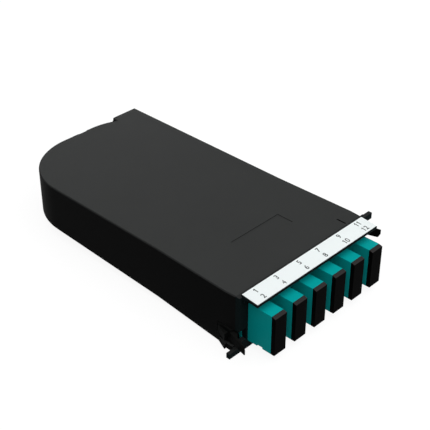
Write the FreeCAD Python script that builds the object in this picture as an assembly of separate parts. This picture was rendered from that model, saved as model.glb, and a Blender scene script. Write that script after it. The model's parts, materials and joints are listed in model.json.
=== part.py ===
# Fibre cassette: a flat tapering housing that holds six twin adapters across its front and one trunk
# port in the square block at its rear, with the ribbon, fan-out and plugs that join them inside.
# Millimetres. X runs to the right along the ports, -Y is the front, +Z is up. While it is drawn, the
# rear edge lies at Y = 0 and the rear underside at Z = 0. The last step moves the origin to the
# middle of the overall box, at its lowest point.

import FreeCAD
import Part
import math
import os

from FreeCAD import Vector

# Housing
BODY_WIDTH = 104.0
REAR_HEIGHT = 27.9
SHELL_LENGTH = 193.1
WALL = 2.0
ROOF = 2.0
FLOOR = 2.0
BEND_RADIUS = 41.6
BEND_TO_BLOCK = 19.0
REAR_SET_IN = 0.5
BLOCK_WIDTH = 20.5
BLOCK_CORNER = 2.0
TAPER_BREAK = 132.0
TAPER_DROP = 5.4
FLARE = 1.4
FLARE_RETURN = 7.0
FLARE_TUCK = 0.5
TOP_EDGE = 0.6
FIT_GAP = 0.1
SEAT_GAP = 0.05

# Small forms on the roof and rim
PRY_NOTCH_WIDTH = 6.9
PRY_NOTCH_LEFT = 1.6
PRY_NOTCH_DEPTH = 1.0
PRY_NOTCH_HEIGHT = 4.0
PLAIN_RECESS_WIDTH = 39.6
PLAIN_RECESS_LENGTH = 11.5
PLAIN_RECESS_DEPTH = 0.3
PLAIN_RECESS_BACK = 29.7
PLAIN_RECESS_RIGHT = 0.9
ROOF_SLOT_IN = 12.5
ROOF_SLOT_BACK = 1.1
ROOF_SLOT_LENGTH = 6.4
ROOF_SLOT_WIDTH = 0.9
ROOF_SLOT_DEPTH = 0.9

# Front panel and its two ears
PANEL_THICKNESS = 2.9
EAR_LENGTH = 7.1
EAR_RIGHT_HEIGHT = 4.0
EAR_LEFT_HEIGHT = 3.3
EAR_THICKNESS = 2.5
EAR_ROOT = 2.0
PANEL_TONGUE_LENGTH = 4.5
PANEL_TONGUE_THICKNESS = 1.4
PANEL_TONGUE_WIDTH = 3.0

# Side wedges that guide the cassette in its rails
WEDGE_LENGTH = 7.0
WEDGE_REACH = 2.9
WEDGE_HEIGHT = 3.4
WEDGE_BACK = 4.7
WEDGE_STRIP = 1.4

# Twin adapters, two ports in each, one above the other
COLUMNS = 6
COLUMN_MARGIN = 10.75
PORT_PITCH = 12.7
ADAPTER_WIDTH = 9.17
ADAPTER_HEIGHT = 25.25
ADAPTER_LENGTH = 29.0
ADAPTER_OUT = 16.2
PORT_WIDTH = 7.5
PORT_HEIGHT = 9.2
PARTITION = 2.4
FLANGE_SIDE = 1.5
FLANGE_LIP = 2.2
FLANGE_THICKNESS = 2.0
FLANGE_TO_ROOF = 2.6
FLANGE_TO_FLOOR = 0.45
GROOVE_DEPTH = 0.9
GROOVE_BACK = 5.9
GROOVE_LENGTH = 3.7
KEEPER_WIDTH = 10.0
KEEPER_THICKNESS = 1.5
KEEPER_GRIP = 1.5

# Inserts in the adapters' ports: a partition and a tube that holds the split sleeve
SLEEVE_BORE = 1.26
SLEEVE_RADIUS = 1.6
SLEEVE_LENGTH = 11.4
SLEEVE_SLIT = 0.4
TUBE_RADIUS = 2.3
TUBE_LENGTH = 15.0
RUNNING_GAP = 0.05

# Front caps
CAP_THICKNESS = 2.6
CAP_SLOPE_DROP = 0.7
TONGUE_LENGTH = 4.5
TONGUE_THICKNESS = 0.9
TONGUE_WIDTH = 6.0

# Plugs behind the adapters
PLUG_WIDTH = 7.2
PLUG_HEIGHT = 8.8
PLUG_LENGTH = 24.0
PLUG_CHAMFER = 0.8
PLUG_SOCKET = 5.4
PLUG_SOCKET_DEPTH = 8.5
PLUG_BEHIND_PARTITION = 2.0
FERRULE_RADIUS = 1.25
BOOT_RADIUS = 2.2
BOOT_LENGTH = 15.0

# Trunk adapter in the rear block, its plug, its cap and its screws
TRUNK_WIDTH = 9.4
TRUNK_HEIGHT = 14.6
TRUNK_LENGTH = 22.0
TRUNK_OUT = 4.5
TRUNK_WALL = 0.9
TRUNK_RIB = 1.2
TRUNK_FLANGE_LIP = 2.7
TRUNK_FLANGE_THICKNESS = 2.0
TRUNK_CAP_THICKNESS = 1.8
TRUNK_CAP_TONGUE = 4.0
TRUNK_PLUG_LENGTH = 24.0
TRUNK_PLUG_INSERT = 9.0
TRUNK_BOOT_LENGTH = 11.0
TRUNK_BOOT_END = 4.4
TRUNK_SCREW_RADIUS = 0.9
TRUNK_SCREW_HEAD_RADIUS = 1.35
TRUNK_SCREW_HEAD_HEIGHT = 1.0
TRUNK_SCREW_LENGTH = 3.6

# Ribbon, fan-out and legs
RIBBON_HEIGHT = 3.1
RIBBON_THICKNESS = 0.32
RIBBON_REAR_RADIUS = 33.6
RIBBON_FRONT_RADIUS = 30.0
RIBBON_FRONT_TURN = 108.0
RIBBON_JOG_RADIUS = 15.0
RIBBON_JOG_TURN = 55.0
FANOUT_X = 8.0
FANOUT_BACK = 72.0
FANOUT_WIDTH = 13.0
FANOUT_LENGTH = 16.0
FANOUT_HEIGHT = 10.6
LEG_DIAMETER = 0.9
LEG_PITCH = 1.8
LEG_ROW_OFFSET = 4.0
LEG_STRAIGHT = 12.0
LEG_BEND = 15.0
LEG_POTTED = 2.0

# Spool and guides on the base
SPOOL_WALL = 1.6
SPOOL_GAP = 0.4
SPOOL_TOP_ABOVE = 1.6
SPOOL_LEDGE = 1.6
SPOOL_LEDGE_THICKNESS = 1.1
SPOOL_TABS = 3
SPOOL_TAB_ARC = 12.0
GUIDE_ARC = 45.0
CRADLE_WALL = 1.2

# Base screws and the posts they run into
POST_RADIUS = 2.8
SCREW_RADIUS = 1.25
SCREW_HEAD_RADIUS = 2.4
SCREW_HEAD_HEIGHT = 1.2
SCREW_LENGTH = 10.0
SCREW_SINK = 0.25
SCREW_HOLE_GAP = 0.2
SCREW_SLOT_WIDTH = 0.6
SCREW_SLOT_DEPTH = 0.6
FRONT_POST_BACK = 42.8
FRONT_POST_IN = 5.6
REAR_POST_FROM_TRUNK = 8.75
REAR_POST_Y = -60.0

# Latch levers, their pins and springs
LATCH_PRESS_ANGLE = 6.0
LATCH_PIVOT_BACK = 23.0
LATCH_HUB_RADIUS = 2.0
LATCH_PIN_RADIUS = 1.0
LATCH_WALL_GAP = 0.3
LATCH_ARM = 1.8
LATCH_PAD = 2.7
LATCH_WINDOW_BACK = 12.8
LATCH_HEIGHT = 7.0
LATCH_FLARE = 1.4
LATCH_FLARE_BACK = 2.2
LATCH_BARB_REACH = 3.6
LATCH_BARB_BACK = 4.0
LATCH_BARB_HEIGHT = 4.6
LATCH_TAB_HEIGHT = 5.4
LATCH_TAB_OUT = 8.7
LATCH_TAB_STEP = 3.2
LATCH_TAB_SPLAY = 2.1
LATCH_TAB_END = 0.8
LATCH_TAB_BEVEL_HEIGHT = 2.4
LATCH_TAB_BEVEL_LENGTH = 1.2
LATCH_ABOVE_UNDERSIDE = 7.0
BRACKET_THICKNESS = 2.0
BRACKET_GAP = 0.2
BRACKET_LENGTH = 8.0
SPRING_THICKNESS = 0.3
SPRING_HEIGHT = 4.0
SPRING_REACH = 8.0
SPRING_POST = 0.8

# Label and its carrier above the adapters
LABEL_MARGIN = 2.5
LABEL_DEPTH = 11.0
LABEL_THICKNESS = 0.2
CARRIER_THICKNESS = 1.0
CARRIER_BORDER = 0.35
CARRIER_OVERLAP = 1.05
CARRIER_TILT = 5.5
CARRIER_APRON = 3.6
CARRIER_APRON_THICKNESS = 1.4

# Places that follow from the sizes
TOP = REAR_HEIGHT
FAR = 400.0
half_body = BODY_WIDTH / 2
flange_height = ADAPTER_HEIGHT + 2 * FLANGE_LIP
front_height = ROOF + FLANGE_TO_ROOF + flange_height + FLANGE_TO_FLOOR + FLOOR
front_underside = TOP - front_height
panel_face = -SHELL_LENGTH - PANEL_THICKNESS
adapter_front = panel_face - ADAPTER_OUT
adapter_rear = adapter_front + ADAPTER_LENGTH
adapter_middle = (adapter_front + adapter_rear) / 2
flange_front = -SHELL_LENGTH + SEAT_GAP
port_centre_z = TOP - ROOF - FLANGE_TO_ROOF - FLANGE_LIP - ADAPTER_HEIGHT / 2
column_pitch = (BODY_WIDTH - 2 * COLUMN_MARGIN) / (COLUMNS - 1)
column_xs = [(i - (COLUMNS - 1) / 2) * column_pitch for i in range(COLUMNS)]
row_zs = [port_centre_z + PORT_PITCH / 2, port_centre_z - PORT_PITCH / 2]
bend_x = BEND_RADIUS - half_body
bend_y = -REAR_SET_IN - BEND_RADIUS
block_left = half_body - BLOCK_WIDTH
trunk_x = (block_left + half_body) / 2
trunk_z = (FLOOR + TOP - ROOF) / 2
trunk_rear = TRUNK_OUT
trunk_front = TRUNK_OUT - TRUNK_LENGTH
plug_front = adapter_middle + PARTITION / 2 + PLUG_BEHIND_PARTITION
plug_rear = plug_front + PLUG_LENGTH
boot_rear = plug_rear + BOOT_LENGTH
fanout_rear = -FANOUT_BACK
fanout_front = fanout_rear - FANOUT_LENGTH


def half_width(y):
    """Half the width of the housing at y: parallel at the rear, flared towards the front."""
    widest = -SHELL_LENGTH + FLARE_RETURN
    if y >= -TAPER_BREAK:
        return half_body
    if y >= widest:
        return half_body + FLARE * (-TAPER_BREAK - y) / (-TAPER_BREAK - widest)
    return half_body + FLARE - FLARE_TUCK * (widest - y) / FLARE_RETURN


def underside(y):
    """Height of the outer underside at y: two straight slopes that meet at the taper's break."""
    if y >= -TAPER_BREAK:
        return TAPER_DROP * y / TAPER_BREAK
    slope = (front_underside + TAPER_DROP) / (SHELL_LENGTH - TAPER_BREAK)
    return -TAPER_DROP + slope * (-TAPER_BREAK - y)


latch_bottom = underside(panel_face) + LATCH_ABOVE_UNDERSIDE
latch_top = latch_bottom + LATCH_HEIGHT
turn_z = (TOP + underside(panel_face)) / 2
pivot_y = -SHELL_LENGTH + LATCH_PIVOT_BACK
pivot_x = -(half_width(pivot_y) - WALL - LATCH_WALL_GAP - LATCH_HUB_RADIUS)


def box(x0, x1, y0, y1, z0, z1):
    return Part.makeBox(x1 - x0, y1 - y0, z1 - z0, Vector(x0, y0, z0))


def prism(corners, z0, z1):
    """A plan outline of straight sides, raised from z0 to z1."""
    points = [Vector(x, y, z0) for x, y in corners]
    face = Part.Face(Part.makePolygon(points + points[:1]))
    return face.extrude(Vector(0, 0, z1 - z0))


def side_prism(corners, x0, x1):
    """An outline in Y and Z, drawn out from x0 to x1."""
    points = [Vector(x0, y, z) for y, z in corners]
    face = Part.Face(Part.makePolygon(points + points[:1]))
    return face.extrude(Vector(x1 - x0, 0, 0))


def rod(x, z, y_front, y_rear, radius):
    """A round bar along Y."""
    return Part.makeCylinder(radius, y_rear - y_front, Vector(x, y_front, z), Vector(0, 1, 0))


def post(x, y, z0, z1, radius):
    """A round bar along Z."""
    return Part.makeCylinder(radius, z1 - z0, Vector(x, y, z0), Vector(0, 0, 1))


def joined(shapes):
    return shapes[0].fuse(shapes[1:]).removeSplitter()


def half_turned(shape):
    """The same piece for the other side: half a turn about the cassette's own long axis."""
    turned = shape.copy()
    turned.rotate(Vector(0, 0, turn_z), Vector(0, 1, 0), 180)
    return turned


def at(angle, radius, x, y):
    """The point on a circle about x, y. The angle is in degrees from +X."""
    turn = math.radians(angle)
    return Vector(x + radius * math.cos(turn), y + radius * math.sin(turn), 0)


def arc(x, y, radius, start, end):
    middle = at((start + end) / 2, radius, x, y)
    return Part.Arc(at(start, radius, x, y), middle, at(end, radius, x, y)).toShape()


def line(start, end):
    return Part.LineSegment(start, end).toShape()


def ring_wall(x, y, outer, inner, start, end, z0, z1):
    """A curved wall: part of a ring between two radii, raised from z0 to z1."""
    edges = [
        arc(x, y, outer, start, end),
        line(at(end, outer, x, y), at(end, inner, x, y)),
        arc(x, y, inner, end, start),
        line(at(start, inner, x, y), at(start, outer, x, y)),
    ]
    wall = Part.Face(Part.Wire(edges)).extrude(Vector(0, 0, z1 - z0))
    wall.translate(Vector(0, 0, z0))
    return wall


def outline(inset, front_y):
    """The housing in plan, drawn in by inset: a racetrack end with a square block at its right."""
    radius = BEND_RADIUS - inset
    rear = bend_y + radius
    right_bend_x = block_left - BEND_TO_BLOCK
    corner_x = block_left + inset
    meet = math.degrees(math.acos((corner_x - right_bend_x) / radius))
    corner = max(BLOCK_CORNER - inset, 0.0)
    right = half_body - inset
    block_rear = -inset
    widest = -SHELL_LENGTH + FLARE_RETURN
    arc_end = at(meet, radius, right_bend_x, bend_y)
    sides = [(right, block_rear), (corner_x + corner, block_rear)]
    edges = [line(Vector(*sides[0], 0), Vector(*sides[1], 0))]
    if corner > 0:
        edges.append(arc(corner_x + corner, block_rear - corner, corner, 90, 180))
    edges.append(line(Vector(corner_x, block_rear - corner, 0), arc_end))
    edges.append(arc(right_bend_x, bend_y, radius, meet, 90))
    edges.append(line(Vector(right_bend_x, rear, 0), Vector(bend_x, rear, 0)))
    edges.append(arc(bend_x, bend_y, radius, 90, 180))
    left_side = [
        Vector(-half_body + inset, bend_y, 0),
        Vector(-half_body + inset, -TAPER_BREAK, 0),
        Vector(-half_width(widest) + inset, widest, 0),
        Vector(-half_width(-SHELL_LENGTH) + inset, -SHELL_LENGTH, 0),
    ]
    right_side = [Vector(-p.x, p.y, 0) for p in reversed(left_side[1:])]
    ends = []
    if front_y < -SHELL_LENGTH:
        ends = [Vector(left_side[-1].x, front_y, 0), Vector(right_side[0].x, front_y, 0)]
    chain = left_side + ends + right_side + [Vector(right, block_rear, 0)]
    edges += [line(a, b) for a, b in zip(chain, chain[1:])]
    return Part.Face(Part.Wire(edges))


def raised(face, z0, z1):
    solid = face.extrude(Vector(0, 0, z1 - z0))
    solid.translate(Vector(0, 0, z0))
    return solid


def below_underside(lift):
    """Everything below the underside's two slopes, raised by lift."""
    corners = [
        (FAR, underside(FAR) + lift),
        (-TAPER_BREAK, underside(-TAPER_BREAK) + lift),
        (-FAR, underside(-FAR) + lift),
        (-FAR, -FAR),
        (FAR, -FAR),
    ]
    return side_prism(corners, -FAR, FAR)


# Housing shell


def top_edges(solid):
    """The outer edges of the roof, without the one along the front panel."""
    chosen = []
    for edge in solid.Edges:
        ends = [v.Point for v in edge.Vertexes]
        on_roof = all(abs(p.z - TOP) < 0.001 for p in ends)
        on_front = all(abs(p.y + SHELL_LENGTH) < 0.001 for p in ends)
        if on_roof and not on_front:
            chosen.append(edge)
    return chosen


def housing_walls():
    outer = raised(outline(0, -SHELL_LENGTH), -FAR / 4, TOP)
    outer = outer.makeChamfer(TOP_EDGE, top_edges(outer))
    inner = raised(outline(WALL, -SHELL_LENGTH - WALL), -FAR / 4, TOP - ROOF)
    return outer.cut(inner).cut(below_underside(0))


def screw_places():
    """Plan places of the base screws: two at the front corners, two inside the fibre's loop."""
    front_y = -SHELL_LENGTH + FRONT_POST_BACK
    front_x = half_width(front_y) - FRONT_POST_IN
    rear_x = trunk_x - REAR_POST_FROM_TRUNK
    return [(-front_x, front_y), (front_x, front_y), (bend_x, bend_y), (rear_x, REAR_POST_Y)]


def screw_posts():
    """Posts that hang from the roof to the base. Returns the posts and the holes down them."""
    posts = []
    holes = []
    for x, y in screw_places():
        low = underside(y)
        posts.append(post(x, y, low, TOP - ROOF / 2, POST_RADIUS).cut(below_underside(FLOOR + SEAT_GAP)))
        holes.append(post(x, y, low, low + SCREW_LENGTH + 1.0, SCREW_RADIUS + RUNNING_GAP))
    return posts, holes


def roof_keepers():
    """Blocks under the roof that trap the top edge of each adapter's flange."""
    rear = flange_front + FLANGE_THICKNESS + FIT_GAP
    low = port_centre_z + flange_height / 2 - KEEPER_GRIP
    half = KEEPER_WIDTH / 2
    return [
        box(x - half, x + half, rear, rear + KEEPER_THICKNESS, low, TOP - ROOF / 2) for x in column_xs
    ]


def latch_brackets():
    """The left lever's two brackets inside the side wall, and the bar that backs its spring."""
    inner = plug_left_side() - FIT_GAP * 4
    half = BRACKET_LENGTH / 2
    wall_x = -half_width(pivot_y) + WALL / 2
    spans = [
        (latch_bottom - BRACKET_GAP - BRACKET_THICKNESS, latch_bottom - BRACKET_GAP),
        (latch_top + BRACKET_GAP, latch_top + BRACKET_GAP + BRACKET_THICKNESS),
    ]
    plates = [box(wall_x, inner, pivot_y - half, pivot_y + half, low, high) for low, high in spans]
    bar = box(inner - SPRING_POST, inner, pivot_y, pivot_y + half, spans[0][0], spans[1][1])
    hole = post(pivot_x, pivot_y, -FAR / 4, FAR / 4, LATCH_PIN_RADIUS + RUNNING_GAP / 2)
    return joined(plates + [bar]).cut(hole)


def plug_left_side():
    return column_xs[0] - PLUG_WIDTH / 2


def latch_window():
    """The opening in the left wall for the lever, open towards the front panel."""
    x = -half_width(-SHELL_LENGTH) - FLARE - 1.0
    rear = -SHELL_LENGTH + LATCH_WINDOW_BACK
    low = latch_bottom - LATCH_WALL_GAP
    high = latch_top + LATCH_WALL_GAP
    return box(x, x + FLARE + 1.0 + WALL * 2, -SHELL_LENGTH - 1.0, rear, low, high)


def side_wedge():
    """The low wedge on the left wall, thick towards the front, and the strip between it and the panel."""
    front = -SHELL_LENGTH + WEDGE_BACK
    rear = front + WEDGE_LENGTH
    face = -half_width(front)
    corners = [
        (face + WALL / 2, rear),
        (-half_width(rear), rear),
        (face - WEDGE_REACH, front),
        (face - WEDGE_STRIP, front),
        (face - WEDGE_STRIP, -SHELL_LENGTH),
        (face + WALL / 2, -SHELL_LENGTH),
    ]
    low = underside(front)
    return prism(corners, low - WALL, low + WEDGE_HEIGHT).cut(below_underside(0))


def trunk_opening():
    half_x = TRUNK_WIDTH / 2 + FIT_GAP
    half_z = TRUNK_HEIGHT / 2 + FIT_GAP
    return box(trunk_x - half_x, trunk_x + half_x, -WALL - 1, 1, trunk_z - half_z, trunk_z + half_z)


def trunk_screw_zs():
    offset = TRUNK_HEIGHT / 2 + TRUNK_FLANGE_LIP / 2
    return [trunk_z - offset, trunk_z + offset]


def housing_shell():
    posts, holes = screw_posts()
    left_wedge = side_wedge()
    right_wedge = left_wedge.mirror(Vector(0, 0, 0), Vector(1, 0, 0))
    brackets = latch_brackets()
    parts = [housing_walls(), left_wedge, right_wedge, brackets, half_turned(brackets)]
    shell = joined(parts + posts + roof_keepers())
    cuts = holes + [latch_window(), half_turned(latch_window()), trunk_opening()]
    for z in trunk_screw_zs():
        cuts.append(rod(trunk_x, z, -WALL - 1, 1, TRUNK_SCREW_RADIUS + RUNNING_GAP))
    rear = -REAR_SET_IN
    cuts.append(
        box(
            PRY_NOTCH_LEFT,
            PRY_NOTCH_LEFT + PRY_NOTCH_WIDTH,
            rear - PRY_NOTCH_DEPTH,
            1,
            TOP - PRY_NOTCH_HEIGHT,
            TOP + 1,
        )
    )
    recess_x = PLAIN_RECESS_RIGHT - PLAIN_RECESS_WIDTH / 2
    recess_y = -SHELL_LENGTH + PLAIN_RECESS_BACK - PLAIN_RECESS_LENGTH / 2
    cuts.append(
        box(
            recess_x,
            recess_x + PLAIN_RECESS_WIDTH,
            recess_y,
            recess_y + PLAIN_RECESS_LENGTH,
            TOP - PLAIN_RECESS_DEPTH,
            TOP + 1,
        )
    )
    slot_x = half_width(-SHELL_LENGTH) - ROOF_SLOT_IN - ROOF_SLOT_WIDTH / 2
    slot_y = -SHELL_LENGTH + ROOF_SLOT_BACK
    cuts.append(
        box(
            slot_x,
            slot_x + ROOF_SLOT_WIDTH,
            slot_y,
            slot_y + ROOF_SLOT_LENGTH,
            TOP - ROOF_SLOT_DEPTH,
            TOP + 1,
        )
    )
    return shell.cut(cuts)


# Base, with its spool, guides, cradle and keepers


def ribbon_level():
    return trunk_z - RIBBON_HEIGHT / 2, trunk_z + RIBBON_HEIGHT / 2


def spool():
    """A half-round wall for the ribbon, with a ledge under it and tabs over it."""
    low, high = ribbon_level()
    outer = RIBBON_REAR_RADIUS - RIBBON_THICKNESS / 2 - SPOOL_GAP
    inner = outer - SPOOL_WALL
    top = high + SPOOL_TOP_ABOVE
    reach = outer + SPOOL_LEDGE
    ledge_top = low - FIT_GAP
    walls = [ring_wall(bend_x, bend_y, outer, inner, 0, 180, -FAR / 8, top)]
    walls.append(
        ring_wall(bend_x, bend_y, reach, inner, 0, 180, ledge_top - SPOOL_LEDGE_THICKNESS, ledge_top)
    )
    for i in range(SPOOL_TABS):
        middle = 180 * (i + 0.5) / SPOOL_TABS
        start = middle - SPOOL_TAB_ARC / 2
        end = middle + SPOOL_TAB_ARC / 2
        walls.append(ring_wall(bend_x, bend_y, reach, inner, start, end, high + FIT_GAP, top))
    return walls


def front_guides():
    """Two curved ribs inside the ribbon's front corners."""
    top = ribbon_level()[1]
    outer = RIBBON_FRONT_RADIUS - RIBBON_THICKNESS / 2 - SPOOL_GAP
    inner = outer - SPOOL_WALL
    y = -RIBBON_FRONT_TURN + RIBBON_FRONT_RADIUS
    right_x = trunk_x - RIBBON_FRONT_RADIUS
    left_x = bend_x - RIBBON_REAR_RADIUS + RIBBON_FRONT_RADIUS
    return [
        ring_wall(right_x, y, outer, inner, -5 - GUIDE_ARC, -5, -FAR / 8, top),
        ring_wall(left_x, y, outer, inner, 185, 185 + GUIDE_ARC, -FAR / 8, top),
    ]


def fanout_cradle():
    """A pedestal under the fan-out block with a cheek on each side."""
    low = trunk_z - FANOUT_HEIGHT / 2
    half = FANOUT_WIDTH / 2 + FIT_GAP
    y0 = fanout_front + CRADLE_WALL
    y1 = fanout_rear - CRADLE_WALL
    x0 = FANOUT_X - half - CRADLE_WALL
    x1 = FANOUT_X + half + CRADLE_WALL
    body = box(x0, x1, y0, y1, -FAR / 8, trunk_z)
    hollow = box(x0 + CRADLE_WALL * 2, x1 - CRADLE_WALL * 2, y0 - 1, y1 + 1, -FAR / 8, low - CRADLE_WALL)
    bed = box(FANOUT_X - half, FANOUT_X + half, y0 - 1, y1 + 1, low - SEAT_GAP, FAR)
    return body.cut(hollow).cut(bed)


def floor_keepers():
    """Blocks on the base that trap the bottom edge of each adapter's flange."""
    rear = flange_front + FLANGE_THICKNESS + FIT_GAP
    high = port_centre_z - flange_height / 2 + KEEPER_GRIP
    half = KEEPER_WIDTH / 2
    return [box(x - half, x + half, rear, rear + KEEPER_THICKNESS, -FAR / 8, high) for x in column_xs]


def base_plate():
    slab = raised(outline(WALL + FIT_GAP, -SHELL_LENGTH), -FAR / 4, TOP).common(below_underside(FLOOR))
    base = joined([slab] + spool() + front_guides() + [fanout_cradle()] + floor_keepers())
    base = base.cut(below_underside(0))
    cuts = []
    for x, y in screw_places():
        low = underside(y) + SCREW_SINK
        gap = SCREW_HOLE_GAP
        cuts.append(post(x, y, low - 2, low + FLOOR + 1, SCREW_RADIUS + gap))
        head = Part.makeCone(
            SCREW_HEAD_RADIUS + gap, SCREW_RADIUS + gap, SCREW_HEAD_HEIGHT, Vector(x, y, low), Vector(0, 0, 1)
        )
        cuts += [head, post(x, y, low - 2, low, SCREW_HEAD_RADIUS + gap)]
    return base.cut(cuts)


def base_screws():
    screws = []
    for x, y in screw_places():
        low = underside(y) + SCREW_SINK
        head = Part.makeCone(SCREW_HEAD_RADIUS, SCREW_RADIUS, SCREW_HEAD_HEIGHT, Vector(x, y, low), Vector(0, 0, 1))
        shank = post(x, y, low, low + SCREW_LENGTH, SCREW_RADIUS)
        slot = SCREW_SLOT_WIDTH / 2
        arm = SCREW_HEAD_RADIUS * 0.6
        cross = joined(
            [
                box(x - slot, x + slot, y - arm, y + arm, low - 1, low + SCREW_SLOT_DEPTH),
                box(x - arm, x + arm, y - slot, y + slot, low - 1, low + SCREW_SLOT_DEPTH),
            ]
        )
        screws.append(joined([head, shank]).cut(cross))
    return Part.makeCompound(screws)


# Front panel, with an ear at one top corner and one at the opposite bottom corner


def front_panel():
    side = half_width(-SHELL_LENGTH)
    low = underside(panel_face)
    ear_rear = panel_face + EAR_THICKNESS
    plate = box(-side, side, panel_face, -SHELL_LENGTH, -FAR / 8, TOP).cut(below_underside(0))
    parts = [plate]
    for reach, rear in ((EAR_LENGTH, ear_rear), (EAR_ROOT, -SHELL_LENGTH)):
        parts.append(box(side - 1, side + reach, panel_face, rear, TOP - EAR_RIGHT_HEIGHT, TOP))
        parts.append(box(-side - reach, -side + 1, panel_face, rear, low, low + EAR_LEFT_HEIGHT))
    tongue_top = TOP - ROOF - FIT_GAP
    half = PANEL_TONGUE_WIDTH / 2
    for i in (0, COLUMNS - 2):
        x = (column_xs[i] + column_xs[i + 1]) / 2
        parts.append(
            box(
                x - half,
                x + half,
                -SHELL_LENGTH - 1,
                -SHELL_LENGTH + PANEL_TONGUE_LENGTH,
                tongue_top - PANEL_TONGUE_THICKNESS,
                tongue_top,
            )
        )
    cuts = [latch_notch(), half_turned(latch_notch())]
    half_x = ADAPTER_WIDTH / 2 + FIT_GAP
    half_z = ADAPTER_HEIGHT / 2 + FIT_GAP
    for x in column_xs:
        cuts.append(
            box(x - half_x, x + half_x, panel_face - 1, -SHELL_LENGTH + 1, port_centre_z - half_z, port_centre_z + half_z)
        )
    return joined(parts).cut(cuts)


def latch_travel(y):
    """How far the lever moves inwards at y when it is fully pressed."""
    return (pivot_y - y) * math.sin(math.radians(LATCH_PRESS_ANGLE))


def pad_inner_x():
    """The lever's inner face where it passes through the wall and the panel."""
    return -half_width(-SHELL_LENGTH) + LATCH_PAD


def latch_notch():
    """The opening at the panel's left edge that lets the lever's tab through and lets it swing in."""
    side = -half_width(-SHELL_LENGTH)
    inner = pad_inner_x() + latch_travel(panel_face) + LATCH_WALL_GAP / 2
    low = latch_bottom - LATCH_WALL_GAP
    high = latch_top + LATCH_WALL_GAP
    return box(side - 1, inner, panel_face - 1, -SHELL_LENGTH + 1, low, high)


# Label carrier and label


def tilted(shape):
    """Tips a piece drawn level at the panel's top front edge down towards the front."""
    tipped = shape.copy()
    tipped.rotate(Vector(0, panel_face, TOP + SEAT_GAP), Vector(1, 0, 0), CARRIER_TILT)
    return tipped


def label_carrier():
    """The plate under the label, with an apron that stands against the panel."""
    rear = panel_face + CARRIER_OVERLAP
    front = rear - LABEL_DEPTH - 2 * CARRIER_BORDER
    half = half_width(-SHELL_LENGTH) - LABEL_MARGIN + CARRIER_BORDER
    low = TOP + SEAT_GAP
    plate = tilted(box(-half, half, front, rear, low, low + CARRIER_THICKNESS))
    apron_rear = panel_face - SEAT_GAP
    apron_front = apron_rear - CARRIER_APRON_THICKNESS
    return joined([plate, box(-half, half, apron_front, apron_rear, TOP - CARRIER_APRON, TOP + CARRIER_THICKNESS / 2)])


def port_label():
    rear = panel_face + CARRIER_OVERLAP - CARRIER_BORDER
    half = half_width(-SHELL_LENGTH) - LABEL_MARGIN
    low = TOP + SEAT_GAP + CARRIER_THICKNESS
    return tilted(box(-half, half, rear - LABEL_DEPTH, rear, low, low + LABEL_THICKNESS))


# Twin adapters and what is inside them


def adapter(x):
    """The body with its two ports and its flange. A groove above and below takes the holding clip."""
    half_x = ADAPTER_WIDTH / 2
    half_z = ADAPTER_HEIGHT / 2
    port_x = PORT_WIDTH / 2
    port_z = PORT_HEIGHT / 2
    z = port_centre_z
    body = box(x - half_x, x + half_x, adapter_front, adapter_rear, z - half_z, z + half_z)
    flange = box(
        x - half_x - FLANGE_SIDE,
        x + half_x + FLANGE_SIDE,
        flange_front,
        flange_front + FLANGE_THICKNESS,
        z - flange_height / 2,
        z + flange_height / 2,
    )
    cuts = []
    for row_z in row_zs:
        cuts.append(box(x - port_x, x + port_x, adapter_front - 1, adapter_rear + 1, row_z - port_z, row_z + port_z))
    groove_front = adapter_front + GROOVE_BACK
    groove_rear = groove_front + GROOVE_LENGTH
    for face_z in (z - half_z, z + half_z):
        low = face_z - GROOVE_DEPTH
        high = face_z + GROOVE_DEPTH
        cuts.append(box(x - half_x - 1, x + half_x + 1, groove_front, groove_rear, low, high))
    return body.fuse(flange).cut(cuts).removeSplitter()


def port_inserts():
    """The partition in each port's middle with the tube through it that holds the sleeve."""
    inserts = []
    half_x = PORT_WIDTH / 2 - SEAT_GAP
    half_z = PORT_HEIGHT / 2 - SEAT_GAP
    wall_front = adapter_middle - PARTITION / 2
    wall_rear = adapter_middle + PARTITION / 2
    tube_front = adapter_middle - TUBE_LENGTH / 2
    tube_rear = adapter_middle + TUBE_LENGTH / 2
    for x in column_xs:
        for z in row_zs:
            wall = box(x - half_x, x + half_x, wall_front, wall_rear, z - half_z, z + half_z)
            tube = rod(x, z, tube_front, tube_rear, TUBE_RADIUS)
            bore = rod(x, z, tube_front - 1, tube_rear + 1, SLEEVE_RADIUS + RUNNING_GAP)
            inserts.append(joined([wall, tube]).cut(bore))
    return Part.makeCompound(inserts)


def split_sleeves():
    sleeves = []
    for x in column_xs:
        for z in row_zs:
            y0 = adapter_middle - SLEEVE_LENGTH / 2
            y1 = adapter_middle + SLEEVE_LENGTH / 2
            sleeve = rod(x, z, y0, y1, SLEEVE_RADIUS).cut(rod(x, z, y0 - 1, y1 + 1, SLEEVE_BORE))
            slit = box(x - SLEEVE_SLIT / 2, x + SLEEVE_SLIT / 2, y0 - 1, y1 + 1, z, z + SLEEVE_RADIUS * 2)
            sleeves.append(sleeve.cut(slit))
    return Part.makeCompound(sleeves)


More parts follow.
